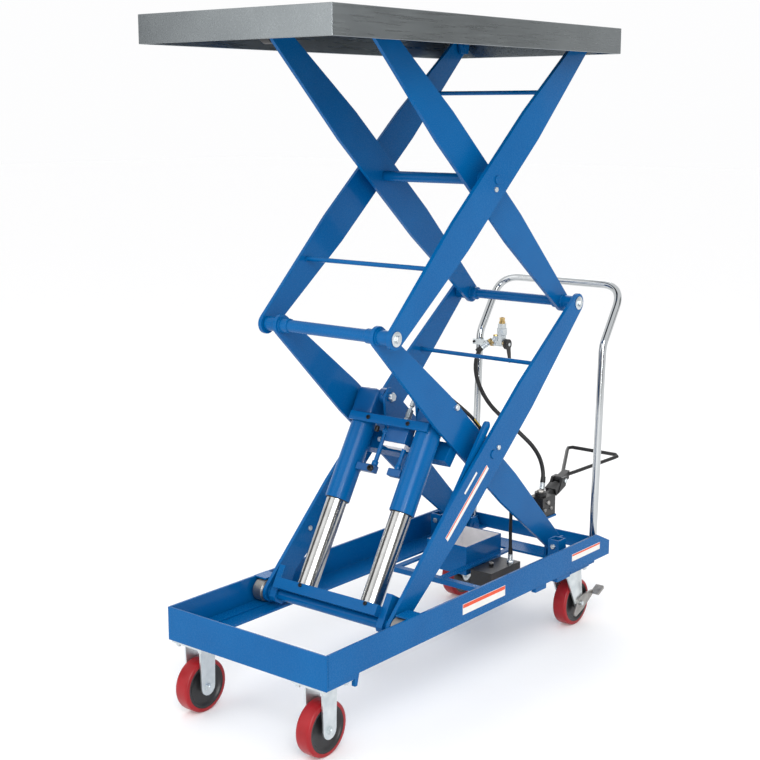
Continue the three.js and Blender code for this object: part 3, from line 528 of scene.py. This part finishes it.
# ---- base frame, legs and plain plates -------------------------------------------------------------
for tag, _ in SIDES:
    finished(f"rail_{tag}", BLUE, 1.6)
    finished(f"base_pivot_{tag}", BLUE, 1.0)
    finished(f"inner_lower_leg_{tag}", BLUE, 1.3)
    finished(f"outer_lower_leg_{tag}", BLUE, 1.3)
    finished(f"inner_upper_leg_{tag}", BLUE, 1.3)
    finished(f"outer_upper_leg_{tag}", BLUE, 1.3)
    finished(f"deck_track_{tag}", BLUE, 0.6)
    finished(f"front_fork_{tag}", ZINC, 0.9)
    finished(f"rear_fork_{tag}", ZINC, 0.9)
    finished(f"brake_pedal_{tag}", STEEL, 0.9)
for plain in ("front_end_plate", "rear_end_plate", "cross_brace", "ram_bracket", "ram_yoke",
              "maintenance_prop"):
    finished(plain, BLUE, 1.4)
finished("deck_pan", STAINLESS, 1.4, 3)
# Painted shade: a thin dark sheet under the pan and dark covers on its two ribs stand in for the shadow under the
# deck.
block("deck_underside_painted_shade", (-2.6, -270.6, 1571.22), (1094.6, 270.6, 1571.46), UNDERSIDE_SHADE, "deck", TABLE, 0)
for x in (430, 690):
    block(f"deck_rib_shade_cover_{x}", (x - 20.3, -196.3, 1557), (x + 20.3, 196.3, 1571.2), UNDERSIDE_SHADE, "deck", TABLE, 0.6)

# The tray's bright liner, whose near-white is partly painted reflection: a floor and four walls, with a screw in
# each corner of the floor.
LINER = {"x": (839.3, 996.7), "y": (-1.7, 122.7), "z": (161.3, 235), "sheet": 1.0}


def tray_liner():
    (x0, x1), (y0, y1), (z0, z1), t = LINER["x"], LINER["y"], LINER["z"], LINER["sheet"]
    block("liner_floor", (x0, y0, z0), (x1, y1, z0 + t), GALVANISED_PAINTED_SHEEN, "chassis", TABLE, 0.3)
    walls = {"front": ((x0, y0), (x0 + t, y1)), "rear": ((x1 - t, y0), (x1, y1)),
             "left": ((x0 + t, y0), (x1 - t, y0 + t)), "right": ((x0 + t, y1 - t), (x1 - t, y1))}
    for name, (low, high) in walls.items():
        block(f"liner_{name}", (*low, z0 + t), (*high, z1), GALVANISED_PAINTED_SHEEN, "chassis", TABLE, 0.3)
    for x in (x0 + 22, x1 - 22):
        for y in (y0 + 20, y1 - 20):
            socket_screw(f"liner_screw_{x:.0f}_{y:.0f}", at(x, y, z0 + t), UP, 5, 4, SCREW, "chassis")


tray_liner()

# ---- shafts, pins and their hardware ---------------------------------------------------------------
for shaft, centre, body, tube, start in (
    ("front_middle_shaft", FRONT_MID, "lower_inner", 14.5, 118),
    ("rear_middle_shaft", REAR_MID, "upper_inner", 12.5, 122),
):
    half = [(16.2, start), (17, start + 1), (17, 185.2), (16.2, 186.2)]
    profile = [(r, -y) for r, y in reversed(half)] + [(tube, -start + 1), (tube, start - 1)] + half
    hub = flat_centre(centre)
    turned(f"{shaft}_tube", profile, hub, BLUE, body, replaces=[shaft])
    washer = [(9, 196.8), (16.4, 196.8), (17, 197.4), (17, 199), (16.2, 199.6), (9, 199.6)]
    for tag, side in SIDES:
        turned(f"{shaft}_washer_{tag}", [(r, side * y) for r, y in washer], hub, ZINC, body)
        bolt(f"{shaft}_bolt_{tag}", hub + local(0, side * 199.4, 0), (0, side, 0), 16, 6, ZINC, body)
        ridge(f"{shaft}_weld_in_{tag}", hub, 17.4, side * 139.4, BLUE, body)
        ridge(f"{shaft}_weld_out_{tag}", hub, 17.4, side * 150.8, BLUE, body)
        ridge(f"{shaft}_weld_tube_{tag}", hub, tube + 0.4, side * (start - 0.6), BLUE, body, 2.0)

PIN = [(10.4, 197), (10.4, 198.6), (9.4, 199.6), (0.5, 199.7)]
for name, centre, body in (("lower_centre", CENTRE_LOW, "lower_inner"),
                           ("upper_centre", CENTRE_UP, "upper_inner")):
    hub = flat_centre(centre)
    for tag, side in SIDES:
        turned(f"{name}_pin_{tag}", [(r, side * y) for r, y in PIN], hub, BLUE, body, sides=48)
        ridge(f"{name}_weld_{tag}", hub, 16.2, side * 150.6, BLUE, body, 2.0)

# Keeper bolts beside the centre pins.
for tag, side in SIDES:
    for name, place, body, x, z in (("lower", OUTER_LOW, "lower_outer", 24, -2.5),
                                    ("upper", OUTER_UP, "upper_outer", -20, -12)):
        bolt(f"{name}_keeper_{tag}", local(x, side * 196.7, z), (0, side, 0), 11.6, 4.8, ZINC, body, place)

turned("upper_centre_tube_round", [(12.2, -139.6), (13, -138.8), (13, 138.8), (12.2, 139.6)],
       flat_centre(CENTRE_UP), BLUE, "upper_inner", replaces=["upper_centre_tube"])
for rod, body in (("lower_tie_rod", "lower_outer"), ("upper_tie_rod_front", "upper_outer"),
                  ("upper_tie_rod_rear", "upper_outer")):
    centre = flat_centre(middle(rod))
    turned(f"{rod}_round", [(5.5, -186), (5.5, 186)], centre, BLUE, body, sides=32, replaces=[rod])
    for tag, side in SIDES:
        ridge(f"{rod}_weld_{tag}", centre, 5.6, side * 185.4, BLUE, body, 1.4)

stub = [(9.4, 231), (13, 230.6), (13, 228.4), (10, 228.3), (10, 186.6), (14, 186.2)]
turned("roller_axle_round", [(r, -y) for r, y in stub] + [(r, y) for r, y in reversed(stub)], AXLE, BLUE,
       "lower_outer", replaces=["roller_axle"])
for tag, side in SIDES:
    ridge(f"roller_axle_weld_{tag}", AXLE, 14.3, side * 185.4, BLUE, "lower_outer", 2.2)

# Loose bolts that show on the legs' faces.
bolt("inner_leg_bolt", at(583, -150.1, 676), (0, -1, 0), 14, 6, ZINC, "lower_inner")
bolt("outer_leg_bolt", at(429, 186.4, 349.5), (0, -1, 0), 12, 5, ZINC, "lower_outer")


# ---- rollers ---------------------------------------------------------------------------------------
def roller(node, mat, inner, outer, radius):
    """A roller between two distances from the middle plane, hollowed between its hub and its rim."""
    side = -1 if node.endswith("left") else 1
    bore, hub = 10.7, 15
    profile = [(bore, inner - 2), (hub - 0.4, inner - 2), (hub, inner - 1), (hub, inner), (radius - 5, inner),
               (radius - 4, inner + 1), (radius - 1.2, inner), (radius, inner + 1.2), (radius, outer - 1.2),
               (radius - 1.2, outer), (radius - 5, outer), (radius - 6, outer - 1.4), (hub, outer - 1.4),
               (bore, outer - 1)]
    turned(node + "_round", [(r, side * y) for r, y in profile], flat_centre(middle(node)), mat,
           BODY_OF[node], hollow=True, replaces=[node])


for tag, _ in SIDES:
    roller(f"base_roller_{tag}", STEEL, 200, 228, 27)
    roller(f"deck_roller_{tag}", NYLON, 154, 182, 24)

# ---- casters ---------------------------------------------------------------------------------------
WHEEL, HALF_TREAD, WHEEL_SIDES = 63.5, 19, 112
SHOULDER = [(10, 0), (4, 0), (1.4, 1.5), (0.3, 4), (0, 8)]  # how far in from the rim, and from the side
TREAD = [(WHEEL - r, -HALF_TREAD + d) for r, d in SHOULDER]
TREAD += [(WHEEL - r, HALF_TREAD - d) for r, d in reversed(SHOULDER)]
CORE_FACE = [(6.8, 21), (13, 21), (14.2, 20), (15.4, 15), (18, 13), (40, 12.4), (44, 13.5), (47.5, 17.6),
             (49, 18.6), (53.2, 18.6)]
CORE_PROFILE = [(r, -y) for r, y in CORE_FACE] + [(r, y) for r, y in reversed(CORE_FACE)]
for end in ("front", "rear"):
    for tag, _ in SIDES:
        wheel = f"{end}_wheel_{tag}"
        hub = middle(wheel + "_tread")
        for part, profile, mat in (("_tread", TREAD, RED), ("_core", CORE_PROFILE, CORE)):
            turned(wheel + part + "_round", profile, hub, mat, wheel, sides=WHEEL_SIDES, hollow=True,
                   replaces=[wheel + part])

PLATE_UNDER = 166.6
for tag, side in SIDES:
    for where, xs, ys in (("front", (14, 86), (150, 222)), ("rear", (1003, 1081), (151, 221))):
        for x in xs:
            for y in ys:
                name = f"{where}_plate_nut_{tag}_{x}_{y}"
                bolt(name, at(x, side * y, PLATE_UNDER), (0, 0, -1), 13, 7, ZINC, "chassis")
                stud = [(4, PLATE_UNDER - 10), (4, PLATE_UNDER - 7), (0.4, PLATE_UNDER - 7)]
                turned(name + "_end", stud, at(x, side * y, 0), ZINC, "chassis", "Z", 20)

# ---- rams ------------------------------------------------------------------------------------------
OFFSET = -11.5  # the ram axes pass below the roller axle
RAM_Y, PIN_X = 100, 540
ROD, BORE, BARREL = 25.5, 26.3, 31
ON_BARRELS = {"body": "ram_barrels", "place": RAM}
for tag, side in SIDES:
    y = side * RAM_Y
    axis = local(0, y, OFFSET)
    rod = [(ROD - 1.2, 35.4), (ROD, 36.6), (ROD, 299), (ROD - 1, 300)]
    turned(f"ram_rod_{tag}_round", rod, axis, GROUND, "ram_rods", "X", 96, RAM,
           replaces=[f"ram_rod_{tag}"])
    barrel = [(BORE, 263), (BORE + 1, 260.4), (BARREL - 1.2, 260.2), (BARREL, 261.4), (BARREL, 482),
              (BORE, 482)]
    turned(f"ram_barrel_{tag}_tube", barrel, axis, BLUE, **ON_BARRELS, axis="X", sides=96, hollow=True,
           replaces=[f"ram_barrel_{tag}"])
    wiper = [(ROD + 0.2, 258.6), (ROD + 2.2, 258.6), (ROD + 3, 259.6), (ROD + 3, 262), (ROD + 0.2, 262)]
    turned(f"ram_wiper_{tag}", wiper, axis, SCREW, **ON_BARRELS, axis="X", hollow=True)
    casting(f"ram_head_{tag}", (480.5, y - 31.5, OFFSET - 30), (548, y + 31.5, OFFSET + 28), CAST_BLUE,
            **ON_BARRELS, corner=7, rough=2.0)
    casting(f"ram_head_lug_{tag}", (516, y - 22, OFFSET - 21), (552, y + 22, OFFSET + 21), CAST_BLUE,
            **ON_BARRELS, corner=9, rough=1.8)
    boss = [(19, side * 56), (20, side * 57), (20, side * 73)]
    turned(f"ram_head_boss_{tag}", boss, local(PIN_X, 0, OFFSET), CAST_BLUE, **ON_BARRELS, sides=64)
    socket_screw(f"yoke_screw_{tag}", local(29.6, y - 23, 40.1), UP, 4.8, 3.4, SCREW, "ram_rods", RAM)
    socket_screw(f"crossbar_screw_{tag}", local(469, side * 61, 27.9), UP, 5.4, 2.6, SCREW, **ON_BARRELS)

# Crossbar, and the oil manifold behind it with a pipe to each barrel.
block("ram_crossbar_bar", (458, -121, 19.9), (480, 121, 27.8), BLUE, **ON_BARRELS, bevel=1.1,
      replaces=["ram_crossbar"])
block("manifold_stem", (459, -42, 7), (472, 2, 19.7), BLUE, **ON_BARRELS, bevel=1.2)
casting("manifold_body", (424, -55, -20), (476, 8, 7.8), CAST_BLUE, **ON_BARRELS, corner=3, rough=0.4)
# The manifold's pale plate: its near-white is partly painted reflection.
block("manifold_plate", (412.5, -56, -19), (423.8, 8, 5), GALVANISED_PAINTED_SHEEN, **ON_BARRELS)
PIPE, PIPE_FOOT, PIPE_LEVEL = 5.5, 350, -6.2
PIPES = {"left": (-50, 29, 425), "right": (21, 12, 457)}  # the y, the boss's inner end, and the top
for tag, side in SIDES:
    y, inner, top = PIPES[tag]
    run = [local(PIPE_FOOT, y, PIPE_LEVEL), local(top, y, PIPE_LEVEL)]
    swept(f"manifold_pipe_{tag}", run, PIPE, BLUE, **ON_BARRELS, sides=28)
    y0, y1 = sorted((side * inner, side * 68.6))
    block(f"pipe_boss_{tag}", (342, y0, -16.2), (361, y1, 3.8), CAST_BLUE, **ON_BARRELS, bevel=3.0)
    union = [(5.6, 360.6), (7.6, 361), (8, 362), (8, 371), (7.4, 372), (5.6, 372.4)]
    turned(f"pipe_union_{tag}", union, local(0, y, PIPE_LEVEL), BLUE, **ON_BARRELS, axis="X", sides=32)
turned("pipe_elbow", [(7, 6), (7, 27), (6, 28)], local(450, 0, PIPE_LEVEL), BLUE, **ON_BARRELS, sides=32)
plug = [(8, 3.7), (8, 10), (7, 11), (3.4, 11), (3.4, 7), (0.4, 7)]
turned("boss_plug", plug, local(PIPE_FOOT, 20, 0), SCREW, **ON_BARRELS, axis="Z", sides=40)
bolt("elbow_fitting", local(428, 27, PIPE_LEVEL), (0, 1, 0), 11, 8, ZINC, **ON_BARRELS)
fitting = [(6, 444), (6, 457), (4, 458)]
turned("bar_fitting", fitting, local(0, 44, 2), SCREW, **ON_BARRELS, axis="X", sides=32)

# The oil inlet: a hexagonal union, a threaded stem, and the nipple that the hose is crimped on.
INLET_Y = -25
inlet_axis = local(0, INLET_Y, OFFSET)
bolt("inlet_union", local(476.2, INLET_Y, OFFSET), (1, 0, 0), 16, 17, ZINC, **ON_BARRELS)
threads = [(8.6 if k % 2 else 7.4, 494 + 1.1 * k) for k in range(20)]
stem = [(6, 493.2), *threads, (6, 516)]
turned("inlet_thread", stem, inlet_axis, ZINC, **ON_BARRELS, axis="X", sides=40)
nipple = [(3.6, 515.8), (3.6, 522.8), (3, 523.2)]
turned("inlet_nipple", nipple, inlet_axis, ZINC, **ON_BARRELS, axis="X", sides=24)

# The bolts that hold the rams' upper pin, on the inner faces of the bracket plates.
BRACKET_INNER = 45.9
ram_pin = RAM @ local(PIN_X, 0, OFFSET)
for tag, side in SIDES:
    foot = Vector((ram_pin.x, side * BRACKET_INNER * MM, ram_pin.z))
    bolt(f"ram_pin_bolt_{tag}", foot, (0, -side, 0), 20.4, 9, ZINC, "lower_inner")

# ---- stop posts and push handle --------------------------------------------------------------------
HANDLE_Y, HANDLE_TUBE, HANDLE_BEND = 200, 10.5, 66
half = [at(1157, HANDLE_Y, 189), at(1181, HANDLE_Y, 752), at(1283, HANDLE_Y, 905)]
mirrored = [Vector((p.x, -p.y, p.z)) for p in reversed(half)]
swept("push_handle_tube", rounded_route(half + mirrored, HANDLE_BEND * MM, 16), HANDLE_TUBE, CHROME,
      "chassis", 40, replaces=["push_handle"])
collar = [(11, 193), (14, 193), (14.6, 194), (14.6, 214), (13.6, 215), (11, 215)]
for tag, side in SIDES:
    bolt(f"post_bolt_{tag}", at(965.9, side * 193, 244), (-1, 0, 0), 13, 5, ZINC, "chassis")
    y0, y1 = sorted((side * (HANDLE_Y - 18), side * (HANDLE_Y + 18)))
    block(f"handle_foot_{tag}", (1136, y0, 188.4), (1169, y1, 193), BLUE, "chassis", TABLE, 0.9)
    turned(f"handle_collar_{tag}", collar, at(1157.6, side * HANDLE_Y, 0), BLUE, "chassis", "Z", 48,
           hollow=True)
    bolt(f"handle_bolt_{tag}", at(1158, side * 214.2, 205), (0, side, 0), 10, 5, ZINC, "chassis")
    bolt(f"handle_foot_bolt_{tag}", at(1142.5, side * HANDLE_Y, 193), UP, 8, 4, ZINC, "chassis")

# ---- air valve -------------------------------------------------------------------------------------
finished("air_valve", ZINC, 0.7)
finished("air_lever", NYLON, 0.7)
VALVE = (1180, 726)  # x and z of the body's axis
VALVE_NUTS = {"union": (152, 7, BRASS), "cap": (112.4, 3.4, BRASS), "clamp_nut": (160.4, 5.4, ZINC)}
for name, (y, length, mat) in VALVE_NUTS.items():
    bolt(f"valve_{name}", at(VALVE[0], y, VALVE[1]), (0, 1, 0), 20, length, mat, "chassis")
knurled("valve_grip", at(VALVE[0], 124, 751), UP, 13.6, 20, ZINC, "chassis", 34)
tip = [(9, 783.8), (9, 789), (7.4, 790), (7.4, 797), (8, 798), (8, 800), (5, 801), (5, 790), (0.4, 790)]
turned("valve_tip", tip, at(VALVE[0], 124, 0), BRASS, "chassis", "Z", 40)
bolt("valve_neck_cap", at(1178, 143, 746.8), UP, 14, 4, BRASS, "chassis")
bolt("valve_hose_nut", at(1170.3, 150.2, 733.5), (-14.3, 15.5, -10.8), 17, 11.4, BRASS, "chassis")
for y in (171, 209):
    socket_screw(f"valve_clamp_screw_{y}", at(1164.9, y, VALVE[1]), (-1, 0, 0), 3.6, 3.4, SCREW, "chassis")

# ---- pump, pedal and reservoir ---------------------------------------------------------------------
finished("foot_pump", BLACK, 1.6, 3)
finished("reservoir", BLACK, 2.2, 3)
finished("foot_pedal", BLACK, 0.6)
PEDAL = (1305, 324)  # x and z of the pedal's pin
bolt("pump_cap_nut", at(1204, 0, 309), UP, 18, 6, STEEL, "chassis")
bolt("pump_inlet_nut", at(1234.2, 16.4, 288), (5.9, 1.6, 20), 15, 8, BRASS, "chassis")
for x in (1190, 1222):
    socket_screw(f"pump_side_screw_{x}", at(x, -24.1, 262), (0, -1, 0), 5, 4, STEEL, "chassis")
bolt("pump_side_plug", at(1206, -24.1, 281), (0, -1, 0), 12, 5, STEEL, "chassis")
for tag, side in SIDES:
    bolt(f"pedal_pin_head_{tag}", at(PEDAL[0], side * 20.1, PEDAL[1]), (0, side, 0), 12, 4, ZINC, "chassis")
bolt("reservoir_port_nut", at(940, -76, 182.2), UP, 17, 7.9, ZINC, "chassis")
socket_screw("reservoir_plug", at(888, -50, 188), UP, 6.4, 3, STEEL, "chassis")


# ---- plain strips where the labels are -------------------------------------------------------------
def strip(name, low, high, body, place, band=0.38):
    """A plain label on a face that looks towards -Y, with a coloured band along its upper edge."""
    block(name, low, high, PAPER, body, place, 0.1)
    if band:
        start = (low[0] + 1, low[1] - 0.25, high[2] - (high[2] - low[2]) * band)
        block(name + "_band", start, (high[0] - 1, low[1] + 0.2, high[2] - 1), BAND, body, place, 0.05)


strip("rail_strip_front", (489, -242.5, 203), (667, -241.8, 229), "chassis", TABLE)
strip("rail_strip_rear", (981, -242.5, 209), (1124, -241.8, 228), "chassis", TABLE, 0.28)
strip("leg_strip", (-255, -197.0, -12), (-35, -196.3, 2), "lower_outer", OUTER_LOW, 0.30)
strip("leg_strip_small", (-138, -197.0, 18), (-73, -196.3, 24), "lower_outer", OUTER_LOW, 0)

# ---- floor, light and reflections ------------------------------------------------------------------
def flat_sheet(name, corners, mat):
    """A rectangle that belongs to the studio and not to the table."""
    mesh = bpy.data.meshes.new(name)
    mesh.from_pydata(corners, [], [(0, 1, 2, 3)])
    mesh.materials.append(mat)
    sheet = bpy.data.objects.new(name, mesh)
    bpy.context.scene.collection.objects.link(sheet)
    return sheet


PALE = surface("pale_floor", (0.88, 0.88, 0.88), (0.87, 0.87, 0.87), roughness=0.8, grain=60, bump=0.0,
               Specular_IOR_Level=0.1, Emission_Color=(1, 1, 1, 1), Emission_Strength=0.12)
flat_sheet("floor", [(-30, -30, 0), (30, -30, 0), (30, 30, 0), (-30, 30, 0)], PALE)

# Dark cards that only reflections see, so that bright metal keeps its dark bands.
DARK = surface("dark_card", (0.02, 0.02, 0.022), roughness=0.9, grain=40, bump=0.0)
GREY = surface("grey_card", (0.20, 0.20, 0.19), roughness=0.9, grain=40, bump=0.0)


def card(name, start, end, low, high, mat):
    """An upright card between two points of the floor plan, which only reflections show."""
    (x0, y0), (x1, y1) = start, end
    sheet = flat_sheet(name, [(x0, y0, low), (x1, y1, low), (x1, y1, high), (x0, y0, high)], mat)
    sheet.visible_camera = False
    sheet.visible_diffuse = False
    sheet.visible_shadow = False


card("card_left", (-1.5, -3.3), (-0.3, -3.8), 0.1, 2.4, DARK)
card("card_front", (-3.9, -1.3), (-3.9, -0.1), 0.1, 2.4, DARK)
card("card_far", (-2.8, 2.4), (-1.4, 3.3), 0.1, 2.6, DARK)
card("card_side", (1.2, -2.2), (3.3, -2.2), 1.0, 2.3, GREY)


def area_light(name, place, target, size, power, tall=None):
    """A square light, or an upright one of that width, which looks at its target."""
    data = bpy.data.lights.new(name, "AREA")
    data.size = size
    data.energy = power
    if tall:
        data.shape = "RECTANGLE"
        data.size_y = tall
    light = bpy.data.objects.new(name, data)
    light.location = place
    light.rotation_euler = (Vector(target) - Vector(place)).to_track_quat("-Z", "Y").to_euler()
    bpy.context.scene.collection.objects.link(light)
    return light


area_light("key", (-3.2, -2.6, 3.2), (0, 0, 0.8), 2.2, 90)
area_light("fill", (-3.6, 1.8, 2.2), (0, 0, 0.8), 3.0, 20)
area_light("rear", (3.2, 2.4, 3.0), (0, 0, 0.9), 2.6, 30)
# A tall light that draws a bright line down round parts, and that only reflections show.
edge = area_light("edge", (-2.3, -2.9, 1.3), (0, 0, 0.7), 0.22, 55, 2.0)
edge.visible_diffuse = False
world = bpy.data.worlds.new("studio")
bpy.context.scene.world = world
world.use_nodes = True
world.node_tree.nodes["Background"].inputs["Color"].default_value = (0.985, 0.985, 0.99, 1)
world.node_tree.nodes["Background"].inputs["Strength"].default_value = 1.0
bpy.context.scene.view_settings.view_transform = "Standard"
